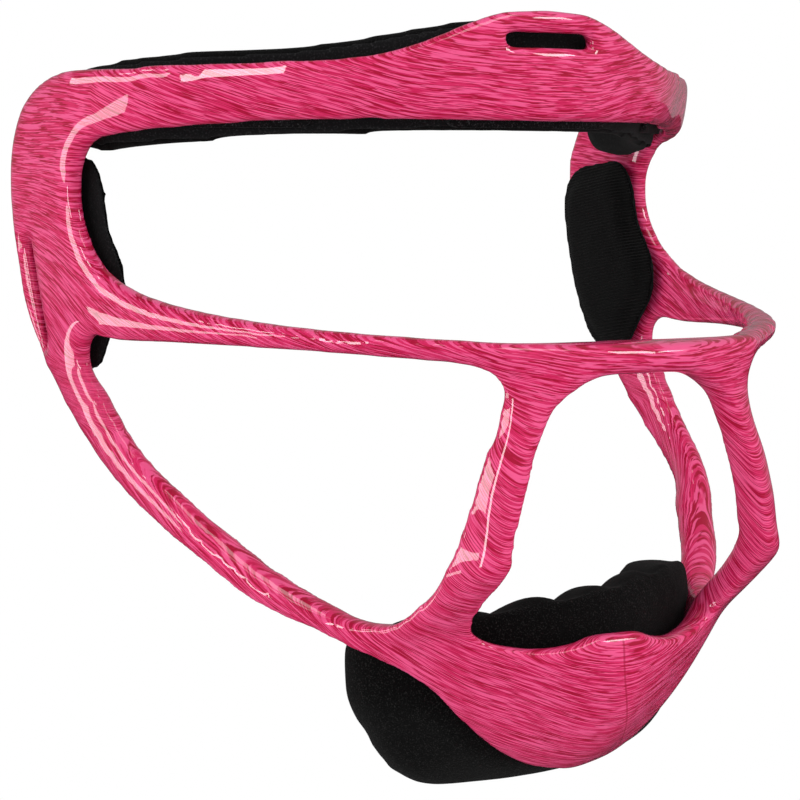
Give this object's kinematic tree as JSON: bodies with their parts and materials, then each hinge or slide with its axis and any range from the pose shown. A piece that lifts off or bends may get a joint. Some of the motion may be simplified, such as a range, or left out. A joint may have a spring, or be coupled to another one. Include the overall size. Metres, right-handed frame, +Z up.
{
  "type": "softball fielding face guard",
  "caption": "Moulded open-frame face guard for softball fielding, with a forehead band, cheek bar, jaw bars and chin guard, and lift-off pads.",
  "frame": {"origin": "where the wearer's face is held: on the mid-plane, level with the tip of the nose and between the cheeks", "axes": "+X to the wearer's left, +Y to the back of the head, +Z up to the crown"},
  "size_m": [0.1724, 0.1341, 0.174],
  "materials": {
    "moulded_frame": "glossy printed plastic with fine brushed streaks under a clear coat",
    "hook_tape": "black nylon hook tape",
    "loop_backing": "black brushed loop fabric",
    "pad_cover": "black knitted fabric",
    "ribbed_cover": "black fabric with fine slanted ribs",
    "chin_velour": "black short-pile velour",
    "foam": "dark grey closed-cell foam, sealed inside the covers"
  },
  "bodies": {
    "frame": {"frame": "moulded_frame", "hook_front": "hook_tape", "hook_brow_left": "hook_tape", "hook_brow_right": "hook_tape", "hook_temple_left": "hook_tape", "hook_temple_right": "hook_tape", "hook_chin_left": "hook_tape", "hook_chin_right": "hook_tape"},
    "forehead_pad": {"forehead_loop": "loop_backing", "forehead_cover": "pad_cover", "forehead_foam": "foam"},
    "temple_pad_left": {"temple_loop_left": "loop_backing", "temple_cover_left": "ribbed_cover", "temple_foam_left": "foam"},
    "temple_pad_right": {"temple_loop_right": "loop_backing", "temple_cover_right": "ribbed_cover", "temple_foam_right": "foam"},
    "chin_pad": {"chin_cover": "chin_velour", "chin_lining": "pad_cover", "chin_foam": "foam"}
  },
  "joints": [
    {"name": "forehead_pad_off", "type": "slide", "parent": "frame", "child": "forehead_pad", "axis": [0, 1, 0], "range_m": [0, 0.06]},
    {"name": "temple_pad_left_off", "type": "slide", "parent": "frame", "child": "temple_pad_left", "axis": [-1, 0, 0], "range_m": [0, 0.03]},
    {"name": "temple_pad_right_off", "type": "slide", "parent": "frame", "child": "temple_pad_right", "axis": [1, 0, 0], "range_m": [0, 0.03]},
    {"name": "chin_pad_off", "type": "slide", "parent": "frame", "child": "chin_pad", "axis": [0, 1, 0], "range_m": [0, 0.06]}
  ]
}
